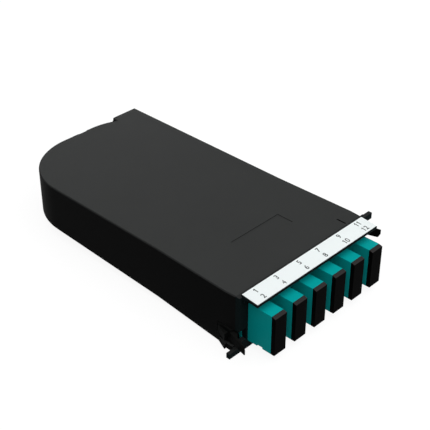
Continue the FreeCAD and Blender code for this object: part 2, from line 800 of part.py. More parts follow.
def dust_cap(x):
    """A plate over both ports that slopes down at the top, with two thin tongues in each port."""
    half_x = ADAPTER_WIDTH / 2
    half_z = ADAPTER_HEIGHT / 2
    z = port_centre_z
    rear = adapter_front - SEAT_GAP
    front = rear - CAP_THICKNESS
    profile = [
        (rear, z - half_z),
        (rear, z + half_z),
        (front, z + half_z - CAP_SLOPE_DROP),
        (front, z - half_z),
    ]
    parts = [side_prism(profile, x - half_x, x + half_x)]
    for row_z in row_zs:
        for side in (-1, 1):
            wall_z = row_z + side * (PORT_HEIGHT / 2 - FIT_GAP)
            low, high = sorted((wall_z, wall_z - side * TONGUE_THICKNESS))
            half = TONGUE_WIDTH / 2
            parts.append(box(x - half, x + half, rear - 0.5, rear + TONGUE_LENGTH, low, high))
    return joined(parts)


def plug(x, z):
    """The rear plug's body: a chamfered block with a square socket around its ferrule."""
    half_x = PLUG_WIDTH / 2
    half_z = PLUG_HEIGHT / 2
    body = box(x - half_x, x + half_x, plug_front, plug_rear, z - half_z, z + half_z)
    long_edges = [e for e in body.Edges if abs(e.Vertexes[0].Y - e.Vertexes[1].Y) > PLUG_LENGTH / 2]
    body = body.makeChamfer(PLUG_CHAMFER, long_edges)
    half = PLUG_SOCKET / 2
    return body.cut(box(x - half, x + half, plug_front - 1, plug_front + PLUG_SOCKET_DEPTH, z - half, z + half))


def plug_ferrules():
    """Ceramic ferrules. Each stands in its plug's socket and meets the middle of its sleeve."""
    seat = plug_front + PLUG_SOCKET_DEPTH
    rods = [rod(x, z, adapter_middle, seat, FERRULE_RADIUS) for x in column_xs for z in row_zs]
    return Part.makeCompound(rods)


def plug_boots():
    return Part.makeCompound([rod(x, z, plug_rear, boot_rear, BOOT_RADIUS) for x in column_xs for z in row_zs])


# Trunk side


def trunk_adapter():
    half_x = TRUNK_WIDTH / 2
    half_z = TRUNK_HEIGHT / 2
    x, z = trunk_x, trunk_z
    body = box(x - half_x, x + half_x, trunk_front, trunk_rear, z - half_z, z + half_z)
    lip = half_z + TRUNK_FLANGE_LIP
    flange_rear = -WALL - SEAT_GAP
    flange = box(x - half_x, x + half_x, flange_rear - TRUNK_FLANGE_THICKNESS, flange_rear, z - lip, z + lip)
    inner_x = half_x - TRUNK_WALL
    inner_z = half_z - TRUNK_WALL
    middle = (trunk_front + trunk_rear) / 2
    cuts = [
        box(x - inner_x, x + inner_x, trunk_front - 1, middle - TRUNK_RIB / 2, z - inner_z, z + inner_z),
        box(x - inner_x, x + inner_x, middle + TRUNK_RIB / 2, trunk_rear + 1, z - inner_z, z + inner_z),
        box(x - inner_x / 2, x + inner_x / 2, middle - TRUNK_RIB, middle + TRUNK_RIB, z - inner_z / 2, z + inner_z / 2),
    ]
    for screw_z in trunk_screw_zs():
        cuts.append(rod(x, screw_z, -FAR / 8, 0, TRUNK_SCREW_RADIUS + RUNNING_GAP))
    return body.fuse(flange).cut(cuts).removeSplitter()


def trunk_screws():
    screws = []
    for z in trunk_screw_zs():
        head = rod(trunk_x, z, SEAT_GAP, SEAT_GAP + TRUNK_SCREW_HEAD_HEIGHT, TRUNK_SCREW_HEAD_RADIUS)
        shank = rod(trunk_x, z, SEAT_GAP - TRUNK_SCREW_LENGTH, SEAT_GAP, TRUNK_SCREW_RADIUS)
        screws.append(joined([head, shank]))
    return Part.makeCompound(screws)


def trunk_cap():
    half_x = TRUNK_WIDTH / 2
    half_z = TRUNK_HEIGHT / 2
    x, z = trunk_x, trunk_z
    front = trunk_rear + SEAT_GAP
    parts = [box(x - half_x, x + half_x, front, front + TRUNK_CAP_THICKNESS, z - half_z, z + half_z)]
    for side in (-1, 1):
        wall_z = z + side * (half_z - TRUNK_WALL - FIT_GAP)
        low, high = sorted((wall_z, wall_z - side * TONGUE_THICKNESS))
        half = half_x - TRUNK_WALL - FIT_GAP * 3
        parts.append(box(x - half, x + half, front - TRUNK_CAP_TONGUE, front + 0.5, low, high))
    return joined(parts)


def trunk_plug_span():
    """Front and rear of the trunk plug's body inside the housing."""
    rear = trunk_front + TRUNK_PLUG_INSERT
    return rear - TRUNK_PLUG_LENGTH, rear


def trunk_plug():
    front, rear = trunk_plug_span()
    half_x = TRUNK_WIDTH / 2 - TRUNK_WALL - FIT_GAP
    half_z = TRUNK_HEIGHT / 2 - TRUNK_WALL - FIT_GAP
    body = box(trunk_x - half_x, trunk_x + half_x, front, rear, trunk_z - half_z, trunk_z + half_z)
    long_edges = [e for e in body.Edges if abs(e.Vertexes[0].Y - e.Vertexes[1].Y) > TRUNK_PLUG_LENGTH / 2]
    return body.makeChamfer(PLUG_CHAMFER, long_edges)


def trunk_boot():
    """A flat-sided boot that narrows from the plug to the ribbon."""
    rear = trunk_plug_span()[0]
    front = rear - TRUNK_BOOT_LENGTH
    wide_x = TRUNK_WIDTH / 2 - TRUNK_WALL * 2
    wide_z = TRUNK_HEIGHT / 2 - TRUNK_WALL * 3
    end_x = TRUNK_BOOT_END / 4
    end_z = TRUNK_BOOT_END / 2
    x, z = trunk_x, trunk_z
    return Part.makeWedge(
        x - end_x, front, z - end_z, z - wide_z, x - wide_x, x + end_x, rear, z + end_z, z + wide_z, x + wide_x
    )


# Ribbon, fan-out and legs


def route(start, heading, steps):
    """Turns steps into runs and arcs. A step of one value is a straight run of that length. A step of
    two is an arc: its radius and its turn in degrees, anticlockwise positive."""
    found = []
    place = start
    for step in steps:
        along = at(heading, 1, 0, 0)
        if len(step) == 1:
            end = place + along * step[0]
            found.append(("run", place, end))
        else:
            radius, turn = step
            side = math.copysign(1, turn)
            centre = place + at(heading + 90, radius * side, 0, 0)
            first = heading - 90 * side
            found.append(("arc", centre, radius, first, first + turn))
            end = at(first + turn, radius, centre.x, centre.y)
            heading += turn
        place = end
    return found


def beside(pieces, offset):
    """The route's edges, moved to the left of the way they run by offset."""
    edges = []
    for piece in pieces:
        if piece[0] == "run":
            start, end = piece[1], piece[2]
            along = (end - start).normalize()
            left = Vector(-along.y, along.x, 0) * offset
            edges.append(line(start + left, end + left))
        else:
            centre, radius, first, last = piece[1:]
            edges.append(arc(centre.x, centre.y, radius - offset * math.copysign(1, last - first), first, last))
    return edges


def ribbon_steps():
    """From the trunk boot round the front corners and the rear spool to the fan-out block."""
    start_y = trunk_plug_span()[0] - TRUNK_BOOT_LENGTH
    corner_y = -RIBBON_FRONT_TURN + RIBBON_FRONT_RADIUS
    left = bend_x - RIBBON_REAR_RADIUS
    shift = bend_x + RIBBON_REAR_RADIUS - FANOUT_X
    turn = math.radians(RIBBON_JOG_TURN)
    slant = (shift - 2 * RIBBON_JOG_RADIUS * (1 - math.cos(turn))) / math.sin(turn)
    jog_length = 2 * RIBBON_JOG_RADIUS * math.sin(turn) + slant * math.cos(turn)
    return [
        (start_y - corner_y,),
        (RIBBON_FRONT_RADIUS, -90),
        (trunk_x - left - 2 * RIBBON_FRONT_RADIUS,),
        (RIBBON_FRONT_RADIUS, -90),
        (bend_y - corner_y,),
        (RIBBON_REAR_RADIUS, -180),
        (RIBBON_JOG_RADIUS, -RIBBON_JOG_TURN),
        (slant,),
        (RIBBON_JOG_RADIUS, RIBBON_JOG_TURN),
        (bend_y - jog_length - fanout_rear,),
    ]


def fibre_ribbon():
    start = Vector(trunk_x, trunk_plug_span()[0] - TRUNK_BOOT_LENGTH, 0)
    run = route(start, -90, ribbon_steps())
    left = beside(run, RIBBON_THICKNESS / 2)
    right = beside(run, -RIBBON_THICKNESS / 2)
    across = Vector(RIBBON_THICKNESS / 2, 0, 0)
    end = run[-1][2]
    ends = [line(start - across, start + across), line(end - across, end + across)]
    low, high = ribbon_level()
    return raised(Part.Face(Part.Wire(Part.__sortEdges__(left + right + ends))), low, high)


def fanout_block(legs):
    """The chamfered block that the ribbon ends in, moulded round the first of each leg."""
    half = FANOUT_WIDTH / 2
    high = FANOUT_HEIGHT / 2
    block = box(FANOUT_X - half, FANOUT_X + half, fanout_front, fanout_rear, trunk_z - high, trunk_z + high)
    long_edges = [e for e in block.Edges if abs(e.Vertexes[0].Y - e.Vertexes[1].Y) > FANOUT_LENGTH / 2]
    return block.makeChamfer(PLUG_CHAMFER, long_edges).cut(legs)


def leg(start, corner, end):
    """A round leg: a straight run to the corner, a bend, and a straight run to the boot."""
    run_in = (corner - start).normalize()
    run_out = (end - corner).normalize()
    back = LEG_BEND * math.tan(run_in.getAngle(run_out) / 2)
    arc_start = corner - run_in * back
    arc_end = corner + run_out * back
    inward = (run_out - run_in).normalize()
    middle = corner + inward * (math.hypot(LEG_BEND, back) - LEG_BEND)
    bend = Part.Arc(arc_start, middle, arc_end).toShape()
    path = Part.Wire([line(start, arc_start), bend, line(arc_end, end)])
    ring = Part.Wire(Part.makeCircle(LEG_DIAMETER / 2, start, run_in))
    return path.makePipeShell([ring], True, False)


def fibre_legs():
    legs = []
    for i, x in enumerate(column_xs):
        start_x = FANOUT_X + (i - (COLUMNS - 1) / 2) * LEG_PITCH
        for z, side in zip(row_zs, (1, -1)):
            start = Vector(start_x, fanout_front + LEG_POTTED, trunk_z + side * LEG_ROW_OFFSET)
            corner = Vector(x, boot_rear + LEG_STRAIGHT, z)
            legs.append(leg(start, corner, Vector(x, boot_rear, z)))
    return Part.makeCompound(legs)


# Latch levers, pins and springs, drawn for the left side


def latch_lever():
    """The arm in the wall's window, the barb low on its outside and the thumb tab through the panel."""
    side = -half_width(-SHELL_LENGTH)
    arm_outer = -(half_width(pivot_y) - WALL - LATCH_WALL_GAP)
    arm_inner = arm_outer + LATCH_ARM
    window = -SHELL_LENGTH + LATCH_WINDOW_BACK - LATCH_WALL_GAP
    flush = -half_width(window)
    pad_inner = pad_inner_x()
    flare_y = -SHELL_LENGTH + LATCH_FLARE_BACK
    flare_x = -half_width(flare_y) - LATCH_FLARE
    hub = post(pivot_x, pivot_y, latch_bottom, latch_top, LATCH_HUB_RADIUS)
    arm = prism(
        [
            (arm_outer, pivot_y),
            (arm_outer, window),
            (flush, window),
            (flare_x, flare_y),
            (pad_inner, -SHELL_LENGTH),
            (arm_inner, window + LATCH_ARM),
            (arm_inner, pivot_y),
        ],
        latch_bottom,
        latch_top,
    )
    barb_y = -SHELL_LENGTH + LATCH_BARB_BACK
    barb = prism(
        [
            (flush, window),
            (-half_width(barb_y) - LATCH_BARB_REACH, barb_y),
            (side, barb_y),
            (pad_inner, window),
        ],
        latch_bottom,
        latch_bottom + LATCH_BARB_HEIGHT,
    )
    knee = side - LATCH_TAB_STEP
    end = knee - LATCH_TAB_SPLAY
    end_y = panel_face - LATCH_TAB_OUT
    tab_top = latch_bottom + LATCH_TAB_HEIGHT
    tab = prism(
        [
            (flare_x, flare_y),
            (knee, panel_face),
            (end, end_y),
            (end + LATCH_TAB_END, end_y),
            (knee + LATCH_ARM, panel_face),
            (pad_inner, -SHELL_LENGTH),
            (pad_inner, flare_y),
        ],
        latch_bottom,
        tab_top,
    )
    bevel = side_prism(
        [
            (end_y - 1, tab_top + 1),
            (end_y + LATCH_TAB_BEVEL_LENGTH, tab_top + 1),
            (end_y + LATCH_TAB_BEVEL_LENGTH, tab_top),
            (end_y, tab_top - LATCH_TAB_BEVEL_HEIGHT),
            (end_y - 1, tab_top - LATCH_TAB_BEVEL_HEIGHT),
        ],
        end - 1,
        side,
    )
    hole = post(pivot_x, pivot_y, -FAR / 8, FAR / 8, LATCH_PIN_RADIUS + RUNNING_GAP)
    return joined([hub, arm, barb, tab.cut(bevel)]).cut(hole)


def latch_pin():
    reach = BRACKET_GAP + BRACKET_THICKNESS
    return post(pivot_x, pivot_y, latch_bottom - reach, latch_top + reach, LATCH_PIN_RADIUS)


def latch_spring():
    """A leaf from the bar beside the brackets to the inner face of the lever's arm."""
    bar_x = plug_left_side() - FIT_GAP * 4 - SPRING_POST
    touch_x = -(half_width(pivot_y) - WALL - LATCH_WALL_GAP) + LATCH_ARM + SEAT_GAP
    middle = (latch_bottom + latch_top) / 2
    rear_y = pivot_y + BRACKET_LENGTH / 2
    thick = SPRING_THICKNESS
    corners = [
        (bar_x - SEAT_GAP, rear_y),
        (bar_x - SEAT_GAP, pivot_y),
        (touch_x + thick, pivot_y - SPRING_REACH),
        (touch_x + thick, pivot_y - SPRING_REACH - 2 * thick),
        (touch_x, pivot_y - SPRING_REACH - 2 * thick),
        (touch_x, pivot_y - SPRING_REACH),
        (bar_x - SEAT_GAP - thick, pivot_y),
        (bar_x - SEAT_GAP - thick, rear_y),
    ]
    return prism(corners, middle - SPRING_HEIGHT / 2, middle + SPRING_HEIGHT / 2)


# All pieces by name


def pieces():
    lever = latch_lever()
    pin = latch_pin()
    spring = latch_spring()
    legs = fibre_legs()
    named = {
        "housing_shell": housing_shell(),
        "base_plate": base_plate(),
        "base_screws": base_screws(),
        "front_panel": front_panel(),
        "label_carrier": label_carrier(),
        "port_label": port_label(),
        "port_inserts": port_inserts(),
        "split_sleeves": split_sleeves(),
        "plug_ferrules": plug_ferrules(),
        "plug_boots": plug_boots(),
        "trunk_adapter": trunk_adapter(),
        "trunk_screws": trunk_screws(),
        "trunk_cap": trunk_cap(),
        "trunk_plug": trunk_plug(),
        "trunk_boot": trunk_boot(),
        "fibre_ribbon": fibre_ribbon(),
        "fanout_block": fanout_block(legs),
        "fibre_legs": legs,
        "latch_lever_left": lever,
        "latch_lever_right": half_turned(lever),
        "latch_pin_left": pin,
        "latch_pin_right": half_turned(pin),
        "latch_spring_left": spring,
        "latch_spring_right": half_turned(spring),
    }
    for i, x in enumerate(column_xs):
        named[f"adapter_{i + 1}"] = adapter(x)
        named[f"dust_cap_{i + 1}"] = dust_cap(x)
        for j, z in enumerate(row_zs):
            named[f"rear_plug_{2 * i + j + 1}"] = plug(x, z)
    return named


def origin_shift():
    """Moves the origin to the middle of the overall box, at its lowest point."""
    front = adapter_front - SEAT_GAP - CAP_THICKNESS
    rear = trunk_rear + SEAT_GAP + TRUNK_CAP_THICKNESS
    return Vector(0, -(front + rear) / 2, -underside(panel_face))


def main():
    os.makedirs("parts", exist_ok=True)
    shift = origin_shift()
    for name, shape in pieces().items():
        shape.translate(shift)
        shape.exportStep(f"parts/{name}.step")


main()
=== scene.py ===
import json
import math

import bmesh
import bpy
from mathutils import Matrix, Vector

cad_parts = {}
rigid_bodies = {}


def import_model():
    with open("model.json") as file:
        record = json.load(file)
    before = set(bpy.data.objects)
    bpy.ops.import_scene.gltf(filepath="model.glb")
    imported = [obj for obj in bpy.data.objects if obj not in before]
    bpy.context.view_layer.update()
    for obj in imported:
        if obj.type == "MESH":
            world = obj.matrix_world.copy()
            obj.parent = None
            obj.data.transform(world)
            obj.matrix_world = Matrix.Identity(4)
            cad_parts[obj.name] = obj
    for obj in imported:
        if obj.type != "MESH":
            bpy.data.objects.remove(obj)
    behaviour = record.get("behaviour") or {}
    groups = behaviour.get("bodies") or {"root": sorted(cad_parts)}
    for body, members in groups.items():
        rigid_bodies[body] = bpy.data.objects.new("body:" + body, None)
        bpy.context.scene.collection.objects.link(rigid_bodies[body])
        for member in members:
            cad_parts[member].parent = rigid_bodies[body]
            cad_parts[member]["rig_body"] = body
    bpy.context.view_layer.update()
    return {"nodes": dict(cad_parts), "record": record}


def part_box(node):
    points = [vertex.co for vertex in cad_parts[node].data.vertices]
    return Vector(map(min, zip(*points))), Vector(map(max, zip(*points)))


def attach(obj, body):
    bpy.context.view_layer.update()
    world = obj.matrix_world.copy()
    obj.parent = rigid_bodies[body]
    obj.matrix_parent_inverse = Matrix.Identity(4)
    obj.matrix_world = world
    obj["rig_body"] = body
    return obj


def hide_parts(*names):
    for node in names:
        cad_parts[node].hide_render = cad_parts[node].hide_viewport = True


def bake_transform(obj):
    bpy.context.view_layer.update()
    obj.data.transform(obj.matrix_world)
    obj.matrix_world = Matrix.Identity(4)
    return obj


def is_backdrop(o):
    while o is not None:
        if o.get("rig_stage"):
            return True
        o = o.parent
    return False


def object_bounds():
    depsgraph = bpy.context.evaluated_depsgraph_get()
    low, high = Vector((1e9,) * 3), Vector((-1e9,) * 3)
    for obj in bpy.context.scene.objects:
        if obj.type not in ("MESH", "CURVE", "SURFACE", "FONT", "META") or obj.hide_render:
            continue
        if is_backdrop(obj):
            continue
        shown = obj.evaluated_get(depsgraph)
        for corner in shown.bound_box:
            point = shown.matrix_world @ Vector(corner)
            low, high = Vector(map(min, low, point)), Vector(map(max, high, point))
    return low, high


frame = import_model()

# Lengths are in metres

# Soft edges
HOUSING_EDGE = 0.00025
ADAPTER_EDGE = 0.00022
SMALL_EDGE = 0.00018
EDGE_SEGMENTS = 2
SHARP_ANGLE = math.radians(32)
FLAT_ANGLE = math.radians(0.5)
SEAM_MERGE = 0.000002

# Label carrier and adapters
COLUMNS = 6
CARRIER_DEEPER = 0.0008
UNDERSIDE_NORMAL = -0.9
ADAPTER_FLANGE_RISE = 0.0022
ADAPTER_GROOVE_DEPTH = 0.0009

# Latch springs
SPRING_DIVISIONS = 12

# Numbers on the label
LABEL_TILT = math.radians(5.5)
NUMBER_PLACES = (-0.0428, -0.0266, -0.0081, 0.0078, 0.0262, 0.0435)
BACK_ROW_DEPTH = 0.00295
FRONT_ROW_DEPTH = 0.0083
NUMBER_SIZE = 0.0046
NUMBER_LIFT = 0.00001
NUMBER_THICKNESS = 0.00001

# Within a number, as shares of its size
STROKE_WEIGHT = 0.012
DIGIT_PITCH = 0.5
ONE_STROKE_LEFT = -0.048
ONE_STROKE_TOP = 0.382
FLAG_REACH = 0.15
FLAG_DROP = 0.17
FLAG_HEIGHT = 0.12

# Camera
CAMERA_AZIMUTH = math.radians(-45.936)
CAMERA_ELEVATION = math.radians(33.513)
CAMERA_DISTANCE = 0.70077
CAMERA_LENS = 87.58
CAMERA_SENSOR = 36
CAMERA_NEAREST = 0.01
VIEW_RIGHT = 0.09136
VIEW_UP = -0.02961
HOUSING_REAR_HEIGHT = 0.0279

# Floor and light
FLOOR_SIZE = 6.0
FLOOR_DROP = 0.0002
FLOOR_ROUGHNESS = 0.9
FLOOR_BOUNCE_TONE = 0.2
FLOOR_SEEN_TONE = 0.12
FLOOR_GLOW = 0.9
SKY_LIGHT = 0.25
OVERHEAD_LIGHT = 2.7
OVERHEAD_WIDTH = math.radians(90)
OVERHEAD_FROM = (-0.05, -0.55, 1.0)
FILL_LIGHT = 1.9
FILL_WIDTH = math.radians(24)
FILL_FROM = (0.6, 0.85, 0.1)

# Moulded grain, and painted light and sheen on what faces up
GRAIN_DETAIL = 2.0
GRAIN_DEPTH = 0.0002
PATCH_SCALE = 28.0
PATCH_DETAIL = 3.0
NOISE_MIDDLE = 0.5
USUAL_TONE_CHANGE = 0.1
GLOSS_CHANGE = 0.12
# Painted top light: faces that turn up past the first value begin to take the lighter colour, and take it
# fully at the second
PAINTED_LIGHT_FROM = 0.45
PAINTED_LIGHT_FULL = 0.92

# Brushed lines
LINE_SCALE = 900.0
LINE_DETAIL = 2.0
LINE_STRETCH = 0.05
LINE_DARKEST = 0.85
LINE_BRIGHTEST = 1.1
LINE_GLOSS_CHANGE = 0.15

# Colours of the finishes
WALL_BLACK = (0.0065, 0.0066, 0.0066)
# Painted top light: the housing's upward faces are drawn lighter, as light and sheen from above
HOUSING_PAINTED_TOP_LIGHT = (0.034, 0.0353, 0.0349)
# The panel's black carries a teal tint painted in as reflection from the teal adapters
PANEL_BLACK_PAINTED_TEAL_REFLECTION = (0.006, 0.0105, 0.011)
# Painted top light: the panel's upward faces are drawn lighter, as light and sheen from above
PANEL_PAINTED_TOP_LIGHT = (0.022, 0.023, 0.023)
LEVER_BLACK = (0.0042, 0.0046, 0.0046)
# Painted top light: the levers' upward faces are drawn lighter, as light and sheen from above
LEVER_PAINTED_TOP_LIGHT = (0.008, 0.0082, 0.008)
CAP_BLACK = (0.0025, 0.0025, 0.0025)
# Painted top light: the caps' upward faces and chamfers are drawn lighter, as light and sheen from above
CAP_PAINTED_TOP_LIGHT = (0.031, 0.029, 0.029)
TRUNK_BLACK = (0.006, 0.0075, 0.0076)
# Painted top light: the trunk parts' upward faces are drawn lighter, as light and sheen from above
TRUNK_PAINTED_TOP_LIGHT = (0.013, 0.0135, 0.0135)
FANOUT_BLACK = (0.02, 0.02, 0.02)
BOOT_BLACK = (0.03, 0.03, 0.03)
ADAPTER_TEAL = (0.0016, 0.335, 0.335)
PLUG_TEAL = (0.02, 0.4, 0.4)
JACKET_TEAL = (0.03, 0.45, 0.45)
LABEL_WHITE = (0.8, 0.85, 0.85)
NUMBER_BLACK = (0.04, 0.046, 0.046)
CERAMIC_WHITE = (0.8, 0.79, 0.76)
SCREW_STEEL = (0.5, 0.5, 0.51)
PIN_STEEL = (0.6, 0.6, 0.6)
SPRING_STEEL = (0.5, 0.5, 0.5)

COLOR = "NodeSocketColor"
NUMBER = "NodeSocketFloat"


# Steps that several materials use


def link(tree, output, target):
    tree.links.new(output, target)


def calculation(tree, operation, *values):
    """One step of arithmetic on plain numbers and other nodes' results."""
    node = tree.nodes.new("ShaderNodeMath")
    node.operation = operation
    for socket, value in zip(node.inputs, values):
        if isinstance(value, float):
            socket.default_value = value
        else:
            link(tree, value, socket)
    return node.outputs["Value"]


def between(tree, share, low, high):
    """Goes from low to high as the share goes from 0 to 1."""
    node = tree.nodes.new("ShaderNodeMapRange")
    node.inputs["To Min"].default_value = low
    node.inputs["To Max"].default_value = high
    link(tree, share, node.inputs["Value"])
    return node.outputs["Result"]


def toned(tree, color, tone):
    node = tree.nodes.new("ShaderNodeVectorMath")
    node.operation = "SCALE"
    link(tree, color, node.inputs["Vector"])
    link(tree, tone, node.inputs["Scale"])
    return node.outputs["Vector"]


def noise(tree, place, detail):
    node = tree.nodes.new("ShaderNodeTexNoise")
    node.inputs["Detail"].default_value = detail
    link(tree, place, node.inputs["Vector"])
    return node


def group(name, inputs, outputs):
    """A new node group with its sockets, its given values and the node that takes its results."""
    tree = bpy.data.node_groups.new(name, "ShaderNodeTree")
    for socket, kind in inputs.items():
        tree.interface.new_socket(name=socket, in_out="INPUT", socket_type=kind)
    for socket, kind in outputs.items():
        tree.interface.new_socket(name=socket, in_out="OUTPUT", socket_type=kind)
    given = tree.nodes.new("NodeGroupInput").outputs
    result = tree.nodes.new("NodeGroupOutput").inputs
    return tree, given, result


def painted_light_share(tree):
    """How much painted top light a surface takes: 1 where it faces up and 0 where it stands upright or
    faces down.
    """
    surface = tree.nodes.new("ShaderNodeNewGeometry")
    parts = tree.nodes.new("ShaderNodeSeparateXYZ")
    link(tree, surface.outputs["Normal"], parts.inputs["Vector"])
    node = tree.nodes.new("ShaderNodeMapRange")
    node.interpolation_type = "SMOOTHSTEP"
    node.inputs["From Min"].default_value = PAINTED_LIGHT_FROM
    node.inputs["From Max"].default_value = PAINTED_LIGHT_FULL
    link(tree, parts.outputs["Z"], node.inputs["Value"])
    return node.outputs["Result"]


def grain_and_painted_light_group():
    """Fine moulded grain with small changes of tone and gloss, and a lighter colour painted on what faces
    up as the light and sheen from above.
    """
    inputs = {
        "Color": COLOR,
        "Painted upper light": COLOR,
        "Tone change": NUMBER,
        "Roughness": NUMBER,
        "Gloss change": NUMBER,
        "Grain scale": NUMBER,
    }
    outputs = {"Color": COLOR, "Roughness": NUMBER, "Height": NUMBER}
    tree, given, result = group("Moulded grain and painted top light", inputs, outputs)
    place = tree.nodes.new("ShaderNodeTexCoord").outputs["Object"]
    grain = noise(tree, place, GRAIN_DETAIL)
    link(tree, given["Grain scale"], grain.inputs["Scale"])
    patches = noise(tree, place, PATCH_DETAIL)
    patches.inputs["Scale"].default_value = PATCH_SCALE
    change = calculation(tree, "SUBTRACT", patches.outputs["Fac"], NOISE_MIDDLE)

    # Painted top light: what faces up takes the lighter colour, standing in for the light and sheen from
    # above
    painted_light_mix = tree.nodes.new("ShaderNodeMix")
    painted_light_mix.data_type = "RGBA"
    link(tree, painted_light_share(tree), painted_light_mix.inputs["Factor"])
    link(tree, given["Color"], painted_light_mix.inputs["A"])
    link(tree, given["Painted upper light"], painted_light_mix.inputs["B"])

    tone = calculation(tree, "MULTIPLY_ADD", change, given["Tone change"], 1.0)
    gloss = calculation(tree, "MULTIPLY_ADD", change, given["Gloss change"], given["Roughness"])
    link(tree, toned(tree, painted_light_mix.outputs["Result"], tone), result["Color"])
    link(tree, gloss, result["Roughness"])
    link(tree, grain.outputs["Fac"], result["Height"])
    return tree


def brushed_lines_group():
    """Fine lines along one axis, as turned or rolled steel has."""
    inputs = {"Color": COLOR, "Line scale": NUMBER, "Roughness": NUMBER}
    tree, given, result = group("Brushed lines", inputs, {"Color": COLOR, "Roughness": NUMBER})
    place = tree.nodes.new("ShaderNodeTexCoord")
    stretch = tree.nodes.new("ShaderNodeMapping")
    stretch.inputs["Scale"].default_value = (1.0, 1.0, LINE_STRETCH)
    link(tree, place.outputs["Object"], stretch.inputs["Vector"])
    lines = noise(tree, stretch.outputs["Vector"], LINE_DETAIL)
    link(tree, given["Line scale"], lines.inputs["Scale"])

    tone = between(tree, lines.outputs["Fac"], LINE_DARKEST, LINE_BRIGHTEST)
    gloss = calculation(tree, "MULTIPLY_ADD", lines.outputs["Fac"], LINE_GLOSS_CHANGE, given["Roughness"])
    link(tree, toned(tree, given["Color"], tone), result["Color"])
    link(tree, gloss, result["Roughness"])
    return tree


# Materials

GRAIN_AND_PAINTED_LIGHT = grain_and_painted_light_group()
BRUSHED_LINES = brushed_lines_group()


def empty_material(name):
    material = bpy.data.materials.new(name)
    material.use_nodes = True
    return material, material.node_tree, material.node_tree.nodes["Principled BSDF"]


def surface_group(tree, shader, node_tree, values):
    """Places a shared group with a material's own values, and feeds the shader its colour and gloss."""
    surface = tree.nodes.new("ShaderNodeGroup")
    surface.node_tree = node_tree
    for name, value in values.items():
        surface.inputs[name].default_value = value
    link(tree, surface.outputs["Color"], shader.inputs["Base Color"])
    link(tree, surface.outputs["Roughness"], shader.inputs["Roughness"])
    return surface


def moulded_plastic(
    name, color, roughness, specular, grain_scale, grain_strength, tone_change=USUAL_TONE_CHANGE, painted_upper_light=None
):
    """A moulded material. What faces up can take a lighter colour, painted light and sheen from above,
    where that differs from its sides.
    """
    material, tree, shader = empty_material(name)
    shader.inputs["Specular IOR Level"].default_value = specular
    values = {
        "Color": (*color, 1),
        "Painted upper light": (*(painted_upper_light or color), 1),
        "Tone change": tone_change,
        "Roughness": roughness,
        "Gloss change": GLOSS_CHANGE,
        "Grain scale": grain_scale,
    }
    surface = surface_group(tree, shader, GRAIN_AND_PAINTED_LIGHT, values)
    bump = tree.nodes.new("ShaderNodeBump")
    bump.inputs["Strength"].default_value = grain_strength
    bump.inputs["Distance"].default_value = GRAIN_DEPTH
    link(tree, surface.outputs["Height"], bump.inputs["Height"])
    link(tree, bump.outputs["Normal"], shader.inputs["Normal"])
    return material


def brushed_metal(name, color, roughness):
    material, tree, shader = empty_material(name)
    shader.inputs["Metallic"].default_value = 1.0
    values = {"Color": (*color, 1), "Line scale": LINE_SCALE, "Roughness": roughness}
    surface_group(tree, shader, BRUSHED_LINES, values)
    return material


MATERIALS = {
    "housing": moulded_plastic(
        "Housing black", WALL_BLACK, painted_upper_light=HOUSING_PAINTED_TOP_LIGHT,
        roughness=0.5, specular=0.004, grain_scale=3200.0, grain_strength=0.25, tone_change=0.14,
    ),
    "panel": moulded_plastic(
        "Panel black", PANEL_BLACK_PAINTED_TEAL_REFLECTION, painted_upper_light=PANEL_PAINTED_TOP_LIGHT,
        roughness=0.45, specular=0.004, grain_scale=3000.0, grain_strength=0.15,
    ),
    "label": moulded_plastic(
        "Label film", LABEL_WHITE,
        roughness=0.5, specular=0.1, grain_scale=1500.0, grain_strength=0.01, tone_change=0.02,
    ),
    "adapter": moulded_plastic(
        "Adapter teal", ADAPTER_TEAL,
        roughness=0.42, specular=0.03, grain_scale=2600.0, grain_strength=0.06, tone_change=0.08,
    ),
    "cap": moulded_plastic(
        "Cap black", CAP_BLACK, painted_upper_light=CAP_PAINTED_TOP_LIGHT,
        roughness=0.45, specular=0.003, grain_scale=2600.0, grain_strength=0.08,
    ),
    "lever": moulded_plastic(
        "Lever black", LEVER_BLACK, painted_upper_light=LEVER_PAINTED_TOP_LIGHT,
        roughness=0.45, specular=0.003, grain_scale=2600.0, grain_strength=0.08,
    ),
    "ceramic": moulded_plastic(
        "White ceramic", CERAMIC_WHITE,
        roughness=0.15, specular=0.6, grain_scale=2000.0, grain_strength=0.0, tone_change=0.02,
    ),
    "plug": moulded_plastic(
        "Plug teal", PLUG_TEAL,
        roughness=0.35, specular=0.2, grain_scale=2600.0, grain_strength=0.04,
    ),
    "boot": moulded_plastic(
        "Boot rubber", BOOT_BLACK,
        roughness=0.7, specular=0.1, grain_scale=2000.0, grain_strength=0.1,
    ),
    "fibre_jacket": moulded_plastic(
        "Fibre jacket", JACKET_TEAL,
        roughness=0.45, specular=0.2, grain_scale=2000.0, grain_strength=0.02,
    ),
    "fanout": moulded_plastic(
        "Fan-out black", FANOUT_BLACK,
        roughness=0.5, specular=0.1, grain_scale=2600.0, grain_strength=0.1,
    ),
    "trunk_plastic": moulded_plastic(
        "Trunk black", TRUNK_BLACK, painted_upper_light=TRUNK_PAINTED_TOP_LIGHT,
        roughness=0.45, specular=0.03, grain_scale=2600.0, grain_strength=0.08,
    ),
    "screw_steel": brushed_metal("Screw steel", SCREW_STEEL, roughness=0.35),
    "pin_steel": brushed_metal("Pin steel", PIN_STEEL, roughness=0.25),
    "spring_steel": brushed_metal("Spring steel", SPRING_STEEL, roughness=0.3),
}
NUMBER_INK = moulded_plastic(
    "Number ink", NUMBER_BLACK,
    roughness=0.6, specular=0.05, grain_scale=2000.0, grain_strength=0.0, tone_change=0.02,
)
SLOTS = {part["node"]: part["material_slot"] for part in frame["record"]["subparts"]}


